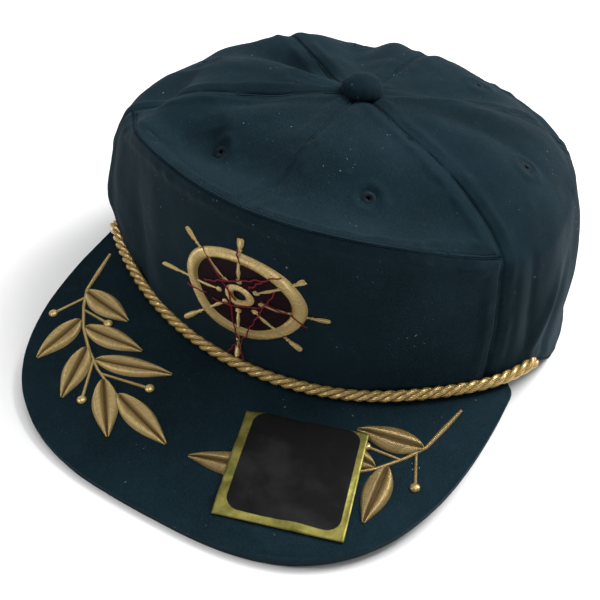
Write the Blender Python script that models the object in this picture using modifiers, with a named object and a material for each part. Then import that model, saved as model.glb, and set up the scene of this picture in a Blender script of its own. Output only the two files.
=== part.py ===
"""A seven-panel rope cap with a flat bill, in metres, +Z up, resting on its bill and on the back of its rim.

The wearer's forehead faces -Y and their left hand is on the +X side. The origin is at the middle of the
cap's box, on the surface that it rests on.
"""
import math

import bmesh
import bpy
from mathutils import Vector

# Driving dimensions of the crown
crown_half_width = 0.0975
crown_front_length = 0.0906
crown_back_length = 0.0900
crown_height = 0.0970
top_forward_shift = 0.0110
cloth = 0.0018
gap = 0.0003
front_panel_half_angle = 57.0
side_panel_end_angle = 122.0
tip_level = 5.9

# Driving dimensions of the opening over the strap, and of the strap
arch_half_width = 0.0380
arch_height = 0.0450
strap_height = 0.0170
strap_thickness = 0.0016
strap_overlap = 0.0120
strap_lift = 0.0006

# Driving dimensions of the bill
bill_half_width = 0.0920
bill_length = 0.0706
bill_corner_setback = 0.0386
bill_side_shift = 0.0025
bill_thickness = 0.0032
bill_edge_round = 0.0010
bill_tilt = math.radians(8.0)
bill_roundness = 2.9
bill_end_angle = 62.0

# Driving dimensions of the trimmings
rope_diameter = 0.0048
rope_end_left = 69.0
rope_end_right = 58.0
button_diameter = 0.0168
button_height = 0.0078
stem_diameter = 0.0060
stem_length = 0.0040
eyelet_diameter = 0.0062
eyelet_hole = 0.0018
eyelet_height = 0.0007
relief = 0.0009
wheel_diameter = 0.0644
wheel_height = 0.0504
wheel_side_shift = 0.0
wheel_turn = math.radians(4.4)
wheel_spokes = 8
laurel_length = 0.0800
laurel_thread = 0.0012
laurel_setback = 0.0015
sticker_width = 0.0458
sticker_length = 0.0433
sticker_foil = 0.0004
sticker_corner = 0.0008
sticker_place = (0.0407, 0.0331)
sticker_turn = math.radians(16.0)

# Mesh fineness
column_angle = 4.8
wheel_facet = 0.0045
arch_columns = 7

# The rim's plan: azimuth from the front, positive to +X, and reach as a share of the rim's ellipse
PLAN = (
    # azimuth, reach
    (0, 1.000),
    (28, 1.010),
    (45, 1.024),
    (60, 1.062),
    (72, 1.060),
    (82, 1.030),
    (92, 1.000),
    (115, 0.990),
    (140, 1.010),
    (165, 1.005),
    (180, 1.000),
)

# The wall's and the top's sections. Each inset is a share of crown_half_width, each rise one of crown_height.
LOW_RISE = 0.45
HIGH_RISE = 0.68
CENTRE_RISE = 0.96
SECTIONS = (
    # azimuth, low inset, high inset, edge inset, edge rise, over inset, over rise, top inset, top rise
    (-180, 0.020, 0.090, 0.180, 0.730, 0.360, 0.830, 0.620, 0.915),
    (-135, 0.030, 0.090, 0.140, 0.710, 0.310, 0.820, 0.560, 0.905),
    (-90, 0.030, 0.080, 0.140, 0.760, 0.300, 0.850, 0.530, 0.935),
    (-57, -0.030, -0.015, 0.030, 0.810, 0.175, 0.885, 0.460, 0.945),
    (-28, -0.020, -0.030, -0.020, 0.905, 0.205, 0.850, 0.460, 0.955),
    (0, -0.042, -0.075, -0.080, 0.940, 0.210, 0.880, 0.460, 0.970),
    (28, -0.030, -0.050, -0.045, 0.905, 0.225, 0.862, 0.490, 0.960),
    (57, 0.030, 0.070, 0.096, 0.755, 0.265, 0.865, 0.530, 0.960),
    (90, 0.050, 0.100, 0.150, 0.745, 0.290, 0.870, 0.530, 0.960),
    (135, 0.030, 0.090, 0.140, 0.730, 0.330, 0.845, 0.560, 0.920),
    (180, 0.020, 0.090, 0.180, 0.730, 0.360, 0.830, 0.620, 0.915),
)

# Folds and dents: azimuth and level of the middle, half widths, turn in degrees, lift as a share of crown_height
FOLDS = (
    # azimuth, level, half azimuth, half levels, turn, lift
    (-132, 4.1, 15, 0.90, 0, 0.055),
    (172, 4.0, 15, 0.80, 0, 0.050),
    (-158, 4.3, 11, 0.80, 0, -0.020),
    (-107, 4.4, 9, 0.80, 0, -0.030),
    (-82, 4.5, 9, 0.90, 0, 0.030),
    (-62, 4.3, 7, 0.80, 0, -0.020),
    (142, 4.6, 12, 0.80, 0, -0.030),
    (112, 4.5, 10, 0.90, 0, 0.020),
    (-33, 3.6, 8, 0.35, 0, -0.030),
)


# Interpolation
def hermite(share, start, end, start_slope, end_slope):
    """Cubic between two values with the slopes given over the whole span."""
    s2 = share * share
    s3 = s2 * share
    return ((2 * s3 - 3 * s2 + 1) * start + (s3 - 2 * s2 + share) * start_slope
            + (3 * s2 - 2 * s3) * end + (s3 - s2) * end_slope)


def smooth_step(share):
    share = min(1.0, max(0.0, share))
    return share * share * (3 - 2 * share)


def along_rows(rows, azimuth, column):
    """Read one column of a table whose first column is an azimuth, as a smooth curve round the cap."""
    first, last = 0, len(rows) - 1
    place = last - 1
    while place > first and rows[place][0] > azimuth:
        place -= 1
    a0, a1 = rows[place][0], rows[place + 1][0]
    v0, v1 = rows[place][column], rows[place + 1][column]
    slopes = []
    for corner in (place, place + 1):
        if corner in (first, last):
            slopes.append(0.0)
        else:
            run = rows[corner + 1][0] - rows[corner - 1][0]
            slopes.append((rows[corner + 1][column] - rows[corner - 1][column]) / run * (a1 - a0))
    return hermite((azimuth - a0) / (a1 - a0), v0, v1, slopes[0], slopes[1])


def wrapped(azimuth):
    return (azimuth + 180.0) % 360.0 - 180.0


# The crown's surface
def rim_radius(azimuth):
    angle = math.radians(azimuth)
    length = crown_front_length if abs(azimuth) < 90 else crown_back_length
    ellipse = 1 / math.hypot(math.sin(angle) / crown_half_width, math.cos(angle) / length)
    return ellipse * along_rows(PLAN, abs(azimuth), 1)


def section(azimuth):
    """Radii and heights of the seven levels at one azimuth: rim, low, high, edge, over, top and centre."""
    row = [along_rows(SECTIONS, azimuth, column) for column in range(1, 9)]
    rim = rim_radius(azimuth)
    insets = (0.0, row[0], row[1], row[2], row[4], row[6])
    radii = [rim - inset * crown_half_width for inset in insets] + [0.0]
    rises = (0.0, LOW_RISE, HIGH_RISE, row[3], row[5], row[7], CENTRE_RISE)
    return radii, [rise * crown_height for rise in rises]


def level_slopes(values, crease):
    """Slopes into and out of each level. The edge is a crease at the front and a soft bend elsewhere."""
    into, out = [], []
    for level, value in enumerate(values):
        before = value - values[level - 1] if level else values[1] - value
        after = values[level + 1] - value if level < len(values) - 1 else before
        soft = (before + after) / 2
        sharp = crease if level == 3 else 0.0
        into.append(soft + (before - soft) * sharp)
        out.append(soft + (after - soft) * sharp)
    return into, out


def crown_place(azimuth, level):
    """A point of the crown's outer face, before its folds."""
    azimuth = wrapped(azimuth)
    radii, heights = section(azimuth)
    crease = 1 - smooth_step((abs(azimuth) - 0.8 * front_panel_half_angle) / (0.2 * front_panel_half_angle))
    base = min(5, int(level))
    share = level - base
    radius_in, radius_out = level_slopes(radii, crease)
    height_in, height_out = level_slopes(heights, crease)
    height_in[6] = 0.0
    radius = hermite(share, radii[base], radii[base + 1], radius_out[base], radius_in[base + 1])
    height = hermite(share, heights[base], heights[base + 1], height_out[base], height_in[base + 1])
    angle = math.radians(azimuth)
    forward = top_forward_shift * smooth_step((level - 3) / 3)
    return Vector((radius * math.sin(angle), crown_y - radius * math.cos(angle) - forward, height))


def fold_lift(azimuth, level):
    lift = 0.0
    for middle, height, half_angle, half_levels, turn, share in FOLDS:
        turn = math.radians(turn)
        across = wrapped(azimuth - middle) / half_angle
        along = (level - height) / half_levels
        u = across * math.cos(turn) + along * math.sin(turn)
        v = along * math.cos(turn) - across * math.sin(turn)
        lift += share * crown_height * math.exp(-(u * u + v * v))
    return lift


def crown_point(azimuth, level):
    """A point of the crown's outer face, with its folds pushed out from the hollow's middle."""
    place = crown_place(azimuth, level)
    core = Vector((0.0, crown_y, 0.3 * crown_height))
    return place + (place - core).normalized() * fold_lift(azimuth, level)


def crown_normal(azimuth, level):
    """The outward direction, which both panels share at a seam, so that they are mitred there."""
    step_angle, step_level = 1.0, 0.12
    low = max(0.0, level - step_level)
    around = crown_point(azimuth + step_angle, level) - crown_point(azimuth - step_angle, level)
    up = crown_point(azimuth, min(6.0, level + step_level)) - crown_point(azimuth, low)
    return around.cross(up).normalized()


def level_at(azimuth, height):
    """The level at which the wall reaches a height."""
    low, high = 0.0, 3.0
    for _ in range(30):
        middle = (low + high) / 2
        if crown_point(azimuth, middle).z < height:
            low = middle
        else:
            high = middle
    return (low + high) / 2


# The bill's plane
rope_radius = rope_diameter / 2
bill_drop = bill_length * math.sin(bill_tilt)
bill_seat_height = bill_drop + bill_thickness * math.cos(bill_tilt)
crown_y = (crown_front_length + bill_length * math.cos(bill_tilt) - crown_back_length) / 2
front_wall_y = crown_y - crown_front_length
bill_up = Vector((0.0, -math.sin(bill_tilt), math.cos(bill_tilt)))
bill_forward = Vector((0.0, -math.cos(bill_tilt), -math.sin(bill_tilt)))
bill_seat = Vector((0.0, front_wall_y, bill_seat_height))
top_centre = Vector((0.0, crown_y - top_forward_shift, crown_height))


def on_bill(x, forward, height=0.0):
    """A point over the bill's upper face, from the middle of its seam."""
    return bill_seat + Vector((x, 0.0, 0.0)) + bill_forward * forward + bill_up * height


def bill_height_at(y):
    return bill_seat_height + (y - front_wall_y) * math.tan(bill_tilt)


# The rim's lower edge: over the bill, down behind its corners, and up over the arch at the back
def rim_height(azimuth):
    turn = abs(wrapped(azimuth))
    inner = crown_place(azimuth, 0.3)
    inward = Vector((-inner.x, crown_y - inner.y, 0.0)).normalized() * cloth
    over_bill = bill_height_at((inner + inward).y) + gap
    level = over_bill * (1 - smooth_step((turn - bill_end_angle - 3) / 26))
    across = math.radians(180 - turn) * rim_radius(180)
    if across < arch_half_width:
        level = arch_height * math.sqrt(1 - (across / arch_half_width) ** 2)
    return level


# Scene and materials
for old in list(bpy.data.objects):
    bpy.data.objects.remove(old, do_unlink=True)


def new_collection(name):
    collection = bpy.data.collections.new(name)
    bpy.context.scene.collection.children.link(collection)
    return collection


parts = new_collection("rope_cap")
cutters = new_collection("cutters")


def material(name, colour, roughness, metallic=0.0):
    made = bpy.data.materials.new(name)
    made.use_nodes = True
    shader = made.node_tree.nodes["Principled BSDF"]
    shader.inputs["Base Color"].default_value = (*colour, 1.0)
    shader.inputs["Roughness"].default_value = roughness
    shader.inputs["Metallic"].default_value = metallic
    return made


twill = material("navy_twill", (0.008, 0.016, 0.024), 0.9)
gold_cord = material("gold_cord", (0.55, 0.40, 0.18), 0.55)
gold_thread = material("gold_thread", (0.50, 0.36, 0.16), 0.45)
navy_thread = material("navy_thread", (0.010, 0.018, 0.026), 0.7)
foil = material("gold_foil", (0.45, 0.42, 0.14), 0.3, 0.8)
strap_cloth = material("strap_cloth", (0.008, 0.014, 0.020), 0.7)


def add_part(name, mesh, finish, smooth=True):
    thing = bpy.data.objects.new(name, mesh)
    parts.objects.link(thing)
    mesh.materials.append(finish)
    if smooth:
        mesh.shade_smooth()
        mesh.set_sharp_from_angle(angle=math.radians(35))
    return thing


def face_outwards(shape):
    """Turn a closed shape's faces outwards."""
    bmesh.ops.recalc_face_normals(shape, faces=shape.faces)
    if shape.calc_volume(signed=True) < 0:
        bmesh.ops.reverse_faces(shape, faces=shape.faces)


def lofted_wall(name, outer, inner):
    """A closed wall between two grids of points, given row by row."""
    shape = bmesh.new()
    rows, columns = len(outer), len(outer[0])
    faces = []
    for grid in (outer, inner):
        faces.append([[shape.verts.new(point) for point in row] for row in grid])
    for row in range(rows - 1):
        for column in range(columns - 1):
            for skin in faces:
                shape.faces.new((skin[row][column], skin[row][column + 1],
                                 skin[row + 1][column + 1], skin[row + 1][column]))
    border = [(0, column) for column in range(columns)]
    border += [(row, columns - 1) for row in range(1, rows)]
    border += [(rows - 1, column) for column in range(columns - 2, -1, -1)]
    border += [(row, 0) for row in range(rows - 2, 0, -1)]
    for step, (row, column) in enumerate(border):
        next_row, next_column = border[(step + 1) % len(border)]
        shape.faces.new((faces[0][row][column], faces[0][next_row][next_column],
                         faces[1][next_row][next_column], faces[1][row][column]))
    face_outwards(shape)
    mesh = bpy.data.meshes.new(name)
    shape.to_mesh(mesh)
    shape.free()
    return mesh


# Crown panels
def even_columns(start, end):
    count = max(2, round(abs(end - start) / column_angle))
    return [start + (end - start) * step / count for step in range(count + 1)]


seam_reach = 0.05


def top_seam(azimuth, side):
    """The level of a panel's edge just under (-1) or over (1) the front panel's top seam."""
    step = 0.02 * side
    slope = (crown_point(azimuth, 3 + step) - crown_point(azimuth, 3)).length / abs(step)
    return 3 + side * gap * 0.6 / slope


def top_seam_over(azimuth):
    return top_seam(azimuth, 1)


def top_seam_under(azimuth):
    return top_seam(azimuth, -1)


def crown_tip(azimuth):
    return tip_level


def rim_edge(azimuth):
    return level_at(azimuth, rim_height(azimuth))


def panel(name, azimuths, low_edge, high_edge, rows):
    """One panel of the crown, between two edges that are functions of the azimuth."""
    outer, inner = [], []
    first, last = azimuths[0], azimuths[-1]
    for row in range(rows + 1):
        share = row / rows
        outer_row, inner_row = [], []
        for azimuth in azimuths:
            bottom = low_edge(azimuth)
            level = bottom + (high_edge(azimuth) - bottom) * share
            reach = crown_half_width
            if level > 5:
                reach = (crown_place(azimuth, level) - top_centre).xy.length
            inset = math.degrees(gap / 2 / reach)
            place = azimuth + (inset if azimuth == first else 0) - (inset if azimuth == last else 0)
            point = crown_point(place, level)
            normal = crown_normal(place, 3.0 if abs(level - 3) < seam_reach else level)
            if row == 0 and low_edge is rim_edge:
                normal.z = 0.0
                normal.normalize()
            outer_row.append(point)
            inner_row.append(point - normal * cloth)
        outer.append(outer_row)
        inner.append(inner_row)
    return add_part(name, lofted_wall(name, outer, inner), twill)


front_azimuths = even_columns(-front_panel_half_angle, front_panel_half_angle)
panel("front_panel", front_azimuths, rim_edge, top_seam_under, 12)
upper_panels = []
for side, sign in (("left", 1), ("right", -1)):
    start, end = (0, front_panel_half_angle) if sign > 0 else (-front_panel_half_angle, 0)
    upper_panels.append(panel("upper_front_" + side, even_columns(start, end), top_seam_over, crown_tip, 9))
    side_azimuths = even_columns(front_panel_half_angle, side_panel_end_angle)
    arch_angle = math.degrees(arch_half_width / rim_radius(180))
    back_azimuths = even_columns(side_panel_end_angle, 180 - arch_angle)
    for step in range(1, arch_columns + 1):
        turn = math.pi / 2 * step / arch_columns
        back_azimuths.append(180 - arch_angle * math.cos(turn))
    if sign < 0:
        side_azimuths = [-azimuth for azimuth in reversed(side_azimuths)]
        back_azimuths = [-azimuth for azimuth in reversed(back_azimuths)]
    upper_panels.append(panel("side_" + side, side_azimuths, rim_edge, crown_tip, 14))
    upper_panels.append(panel("back_" + side, back_azimuths, rim_edge, crown_tip, 14))


# Bill
def bill_outline(turn):
    """The bill's outer edge at a turn from 0 at its +X corner to pi at its -X corner."""
    power = 2 / bill_roundness
    across = math.copysign(abs(math.cos(turn)) ** power, math.cos(turn))
    return (bill_side_shift + bill_half_width * across,
            -bill_corner_setback + (bill_length + bill_corner_setback) * math.sin(turn) ** power)


bill_columns = 36
bill_rows = 4
bill_grid = bmesh.new()
bill_points = []
for column in range(bill_columns + 1):
    share = column / bill_columns
    azimuth = bill_end_angle * (1 - 2 * share)
    wall = crown_place(azimuth, 0.3)
    seam = wall - crown_normal(azimuth, 0.3) * (cloth * 0.7)
    seam_forward = (front_wall_y - seam.y) / math.cos(bill_tilt)
    edge_x, edge_forward = bill_outline(math.pi * share)
    bill_points.append([])
    for row in range(bill_rows + 1):
        mix = row / bill_rows
        point = on_bill(seam.x * (1 - mix) + edge_x * mix, seam_forward * (1 - mix) + edge_forward * mix)
        bill_points[-1].append(bill_grid.verts.new(point))
for column in range(bill_columns):
    for row in range(bill_rows):
        bill_grid.faces.new((bill_points[column][row], bill_points[column][row + 1],
                             bill_points[column + 1][row + 1], bill_points[column + 1][row]))
bmesh.ops.recalc_face_normals(bill_grid, faces=bill_grid.faces)
if sum(face.normal.z for face in bill_grid.faces) < 0:
    bmesh.ops.reverse_faces(bill_grid, faces=bill_grid.faces)
bill_mesh = bpy.data.meshes.new("bill")
bill_grid.to_mesh(bill_mesh)
bill_grid.free()
bill = add_part("bill", bill_mesh, twill)
board = bill.modifiers.new("board", "SOLIDIFY")
board.thickness = bill_thickness
board.offset = -1.0
edge = bill.modifiers.new("edge", "BEVEL")
edge.width = bill_edge_round
edge.segments = 1
edge.limit_method = "ANGLE"
edge.angle_limit = math.radians(60)


# Rope
def rope_centre(azimuth):
    """The rope lies in the corner between the front panel and the bill, clear of both."""
    height = bill_height_at(crown_place(azimuth, 0.3).y) + (rope_radius + gap) / math.cos(bill_tilt)
    level = level_at(azimuth, height)
    wall = crown_point(azimuth, level)
    outward = crown_normal(azimuth, level)
    outward.z = 0.0
    centre = wall + outward.normalized() * (rope_radius + gap + 0.0002)
    centre.z = bill_height_at(centre.y) + (rope_radius + gap) / math.cos(bill_tilt)
    return centre


rope_points = 41
rope_curve = bpy.data.curves.new("rope", "CURVE")
rope_curve.dimensions = "3D"
rope_curve.bevel_depth = rope_radius
rope_curve.bevel_resolution = 2
rope_curve.use_fill_caps = True
rope_line = rope_curve.splines.new("POLY")
rope_line.points.add(rope_points - 1)
for number, point in enumerate(rope_line.points):
    turn = -rope_end_right + (rope_end_left + rope_end_right) * number / (rope_points - 1)
    point.co = (*rope_centre(turn), 1.0)
rope = bpy.data.objects.new("rope", rope_curve)
rope_curve.materials.append(gold_cord)
parts.objects.link(rope)


# Top button
def turned(name, profile, place, finish, steps=20):
    """A turned piece from its half profile, listed from the top down, at a place."""
    mesh = bpy.data.meshes.new(name)
    points = [(radius, 0.0, height) for radius, height in profile]
    mesh.from_pydata(points, [(step, step + 1) for step in range(len(points) - 1)], [])
    thing = add_part(name, mesh, finish, smooth=False)
    thing.location = place
    turn = thing.modifiers.new("turn", "SCREW")
    turn.axis = "Z"
    turn.steps = steps
    turn.render_steps = steps
    turn.use_merge_vertices = True
    turn.merge_threshold = 0.00001
    turn.use_smooth_shade = True
    return thing


button_radius = button_diameter / 2
button_seat = max(crown_point(azimuth, level).z
                  for azimuth in range(-180, 180, 12) for level in (5.75, 5.85, tip_level)) + gap
button_place = Vector((0.0, top_centre.y, button_seat))
button_arc = [(button_radius * math.sin(math.radians(step)), button_height * (0.18 + 0.82 * math.cos(math.radians(step))))
              for step in range(0, 91, 15)]
button_profile = button_arc + [
    (button_radius * 0.94, 0.0),
    (stem_diameter / 2, 0.0),
    (stem_diameter / 2, -stem_length),
    (0.0, -stem_length),
]
turned("top_button", button_profile, button_place, twill)

# Eyelets, each on a panel that is pierced for it
EYELETS = (
    # azimuth, level
    (27.0, 4.25),
    (84.0, 4.15),
    (150.0, 4.1),
    (-27.0, 4.25),
    (-84.0, 4.15),
    (-150.0, 4.1),
)
eyelet_profile = (
    (eyelet_hole * 0.75, eyelet_height),
    (eyelet_diameter * 0.38, eyelet_height),
    (eyelet_diameter / 2, eyelet_height * 0.3),
    (eyelet_diameter / 2, 0.0),
    (eyelet_hole * 0.5, 0.0),
    (eyelet_hole * 0.5, eyelet_height * 0.6),
    (eyelet_hole * 0.75, eyelet_height),
)
eyelet_clearance = 0.0007
for number, ((azimuth, level), pierced) in enumerate(zip(EYELETS, upper_panels), start=1):
    place = crown_point(azimuth, level)
    normal = crown_normal(azimuth, level)
    upright = normal.to_track_quat("Z", "Y")
    ring = turned("eyelet_%d" % number, eyelet_profile, place + normal * eyelet_clearance, navy_thread, steps=12)
    ring.rotation_euler = upright.to_euler()
    bpy.ops.mesh.primitive_cylinder_add(vertices=8, radius=eyelet_hole / 2, depth=6 * cloth,
                                        location=place, rotation=upright.to_euler())
    punch = bpy.context.object
    punch.name = "eyelet_punch_%d" % number
    punch.hide_render = True
    punch.display_type = "WIRE"
    for owner in punch.users_collection:
        owner.objects.unlink(punch)
    cutters.objects.link(punch)
    hole = pierced.modifiers.new("eyelet", "BOOLEAN")
    hole.operation = "DIFFERENCE"
    hole.object = punch


# Embroidery
def flat_outline(points, thickness):
    """A flat plate from an outline, as a mesh object that can be joined to others."""
    curve = bpy.data.curves.new("outline", "CURVE")
    curve.dimensions = "2D"
    curve.fill_mode = "BOTH"
    curve.extrude = thickness / 2
    spline = curve.splines.new("POLY")
    spline.points.add(len(points) - 1)
    for vertex, (x, y) in zip(spline.points, points):
        vertex.co = (x, y, 0.0, 1.0)
    spline.use_cyclic_u = True
    drawn = bpy.data.objects.new("outline", curve)
    cutters.objects.link(drawn)
    return meshed(drawn)


def meshed(drawn):
    """Replace a curve object by a mesh object with its caps welded."""
    graph = bpy.context.evaluated_depsgraph_get()
    mesh = bpy.data.meshes.new_from_object(drawn.evaluated_get(graph))
    shape = bmesh.new()
    shape.from_mesh(mesh)
    bmesh.ops.remove_doubles(shape, verts=shape.verts, dist=0.000001)
    face_outwards(shape)
    shape.to_mesh(mesh)
    shape.free()
    made = bpy.data.objects.new("plate", mesh)
    made.matrix_world = drawn.matrix_world
    cutters.objects.link(made)
    bpy.data.objects.remove(drawn, do_unlink=True)
    return made


def fused(name, plates, place_point, finish, longest_edge=1.0):
    """Join plates into one solid, and lay it on a surface with a function of its flat place."""
    body = plates[0]
    for plate in plates[1:]:
        join = body.modifiers.new("join", "BOOLEAN")
        join.operation = "UNION"
        join.object = plate
    graph = bpy.context.evaluated_depsgraph_get()
    mesh = bpy.data.meshes.new_from_object(body.evaluated_get(graph))
    for plate in plates:
        bpy.data.objects.remove(plate, do_unlink=True)
    shape = bmesh.new()
    shape.from_mesh(mesh)
    bmesh.ops.remove_doubles(shape, verts=shape.verts, dist=0.000002)
    bmesh.ops.triangulate(shape, faces=shape.faces)
    long_edges = [edge for edge in shape.edges if edge.calc_length() > longest_edge]
    bmesh.ops.subdivide_edges(shape, edges=long_edges, cuts=1)
    bmesh.ops.triangulate(shape, faces=shape.faces)
    for vertex in shape.verts:
        vertex.co = place_point(vertex.co.x, vertex.co.y, vertex.co.z)
    face_outwards(shape)
    shape.to_mesh(mesh)
    shape.free()
    mesh.materials.clear()
    return add_part(name, mesh, finish, smooth=False)


def leaf_outline(base, tip, width):
    """A pointed leaf between two points."""
    base, tip = Vector(base), Vector(tip)
    side = Vector((base.y - tip.y, tip.x - base.x)).normalized()
    shares = (0.12, 0.30, 0.48, 0.68, 0.86)
    widths = [width / 2 * math.sin(math.pi * share ** 0.8) for share in shares]
    left = [base.lerp(tip, share) + side * half for share, half in zip(shares, widths)]
    right = [base.lerp(tip, share) - side * half for share, half in zip(shares, widths)]
    return [base] + right + [tip] + list(reversed(left))


def ribbon_outline(points, widths):
    """A stem of changing width along a line of points."""
    left, right = [], []
    for place, (point, width) in enumerate(zip(points, widths)):
        ahead = points[min(place + 1, len(points) - 1)]
        behind = points[max(place - 1, 0)]
        side = Vector((behind.y - ahead.y, ahead.x - behind.x)).normalized()
        left.append(point + side * width / 2)
        right.append(point - side * width / 2)
    return right + list(reversed(left))


def disc_outline(centre, radius, sides=8, turn=0.0):
    return [Vector(centre) + Vector((radius * math.cos(turn + 2 * math.pi * step / sides),
                                     radius * math.sin(turn + 2 * math.pi * step / sides)))
            for step in range(sides)]


# The laurel's places as shares of laurel_length: across from the middle of the bill, and forward of its seam
LAUREL_STEM = (
    # across, forward, width
    (1.010, -0.285, 0.020),
    (0.982, -0.150, 0.030),
    (0.955, -0.020, 0.018),
    (0.900, 0.075, 0.018),
    (0.810, 0.190, 0.018),
    (0.700, 0.285, 0.018),
    (0.590, 0.360, 0.016),
    (0.450, 0.425, 0.016),
    (0.400, 0.440, 0.010),
)
LAUREL_LEAVES = (
    # base across, base forward, tip across, tip forward, width
    (0.955, -0.010, 0.630, 0.048, 0.135),
    (0.850, 0.150, 0.885, 0.465, 0.125),
    (0.810, 0.185, 0.455, 0.165, 0.125),
    (0.715, 0.275, 0.625, 0.590, 0.125),
    (0.640, 0.325, 0.245, 0.205, 0.115),
    (0.530, 0.390, 0.300, 0.655, 0.125),
    (0.420, 0.430, 0.045, 0.550, 0.125),
)
LAUREL_BERRIES = (
    # stalk across, stalk forward, berry across, berry forward
    (0.930, 0.030, 1.000, 0.190),
    (0.885, 0.095, 0.720, 0.108),
    (0.640, 0.325, 0.540, 0.540),
    (0.560, 0.375, 0.305, 0.330),
)


leaf_share = 0.9


def laurel(name, side):
    size = laurel_length
    stem_points = [Vector((side * across * size, forward * size)) for across, forward, _ in LAUREL_STEM]
    plates = [flat_outline(ribbon_outline(stem_points, [row[2] * size for row in LAUREL_STEM]), relief)]
    for base_x, base_f, tip_x, tip_f, width in LAUREL_LEAVES:
        outline = leaf_outline((side * base_x * size, base_f * size), (side * tip_x * size, tip_f * size),
                               width * size)
        plates.append(flat_outline(outline, relief * leaf_share))
    for stalk_x, stalk_f, berry_x, berry_f in LAUREL_BERRIES:
        stalk = [Vector((side * stalk_x * size, stalk_f * size)), Vector((side * berry_x * size, berry_f * size))]
        plates.append(flat_outline(ribbon_outline(stalk, (laurel_thread, laurel_thread * 1.3)), relief * leaf_share))
        plates.append(flat_outline(disc_outline(stalk[1], laurel_thread * 1.5), relief))
    return fused(name, plates, lambda x, y, z: on_bill(x, y + laurel_setback, z + relief / 2 + gap),
                 gold_thread)


laurel("laurel_left", 1)
laurel("laurel_right", -1)

# Ship's wheel: its turned spoke from the hub to the handle's tip, as shares of half of wheel_diameter
WHEEL_SPOKE = (
    # distance, width
    (0.080, 0.060),
    (0.190, 0.085),
    (0.260, 0.045),
    (0.420, 0.075),
    (0.560, 0.045),
    (0.700, 0.050),
    (0.760, 0.040),
    (0.860, 0.095),
    (0.960, 0.095),
    (1.000, 0.050),
)
WHEEL_RIM = (0.590, 0.720)
WHEEL_HUB = (0.045, 0.135)


def ring_plate(inner, outer, sides):
    """A flat ring, as a turned strip."""
    drawn = flat_outline(disc_outline((0.0, 0.0), outer, sides), relief)
    core = flat_outline(disc_outline((0.0, 0.0), inner, sides), relief * 2)
    cut = drawn.modifiers.new("bore", "BOOLEAN")
    cut.operation = "DIFFERENCE"
    cut.object = core
    graph = bpy.context.evaluated_depsgraph_get()
    mesh = bpy.data.meshes.new_from_object(drawn.evaluated_get(graph))
    bpy.data.objects.remove(core, do_unlink=True)
    bpy.data.objects.remove(drawn, do_unlink=True)
    made = bpy.data.objects.new("ring", mesh)
    cutters.objects.link(made)
    return made


def on_front(across, up, height):
    """A point over the front panel, from distances along its face."""
    azimuth = math.degrees(across / crown_front_length)
    level = level_at(azimuth, up)
    return crown_point(azimuth, level) + crown_normal(azimuth, level) * height


wheel_radius = wheel_diameter / 2
wheel_plates = [ring_plate(WHEEL_RIM[0] * wheel_radius, WHEEL_RIM[1] * wheel_radius, 32)]
for spoke in range(wheel_spokes):
    turn = 2 * math.pi * spoke / wheel_spokes - wheel_turn + math.pi / 2
    heading = Vector((math.cos(turn), math.sin(turn)))
    points = [heading * (distance * wheel_radius) for distance, _ in WHEEL_SPOKE]
    widths = [width * wheel_radius for _, width in WHEEL_SPOKE]
    wheel_plates.append(flat_outline(ribbon_outline(points, widths), relief * leaf_share))
wheel_plates.append(ring_plate(WHEEL_HUB[0] * wheel_radius, WHEEL_HUB[1] * wheel_radius, 12))
relief_clearance = 0.0008
fused("ship_wheel", wheel_plates,
      lambda x, y, z: on_front(wheel_side_shift + x, wheel_height + y, z + relief / 2 + relief_clearance),
      gold_thread, longest_edge=wheel_facet)

# Foil sticker, lying over the embroidery
sticker_outline = []
for corner_x, corner_y, start in ((1, 1, 0), (-1, 1, 90), (-1, -1, 180), (1, -1, 270)):
    for step in (0, 45, 90):
        angle = math.radians(start + step)
        sticker_outline.append(Vector((
            corner_x * (sticker_width / 2 - sticker_corner) + sticker_corner * math.cos(angle),
            corner_y * (sticker_length / 2 - sticker_corner) + sticker_corner * math.sin(angle))))


def on_sticker(x, y, z):
    across = sticker_place[0] + x * math.cos(sticker_turn) - y * math.sin(sticker_turn)
    forward = sticker_place[1] - y * math.cos(sticker_turn) - x * math.sin(sticker_turn)
    return on_bill(across, forward, relief + 2 * gap + sticker_foil / 2 + z)


fused("foil_sticker", [flat_outline(sticker_outline, sticker_foil)], on_sticker, foil)


# Back strap, inside the wall across the arch
strap_angle = math.degrees((arch_half_width + strap_overlap) / rim_radius(180))
strap_columns = 20
strap_rows = 3
strap_outer, strap_inner = [], []
for row in range(strap_rows + 1):
    height = strap_lift + strap_height * row / strap_rows
    outer_row, inner_row = [], []
    for column in range(strap_columns + 1):
        azimuth = 180 + strap_angle * (2 * column / strap_columns - 1)
        level = level_at(azimuth, height)
        inward = -crown_normal(azimuth, level)
        inward.z = 0.0
        inward.normalize()
        face = crown_point(azimuth, level) + inward * (cloth + gap)
        outer_row.append(face)
        inner_row.append(face + inward * strap_thickness)
    strap_outer.append(outer_row)
    strap_inner.append(inner_row)
add_part("back_strap", lofted_wall("back_strap", strap_outer, strap_inner), strap_cloth)
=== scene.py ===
"""A seven-panel rope cap of navy twill: a flat bill, gold cord, laurels, a ship's wheel and a foil label."""
import math

import bmesh
import bpy
import numpy as np
from mathutils import Matrix, Vector, noise
from mathutils.bvhtree import BVHTree
from mathutils.kdtree import KDTree


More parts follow.
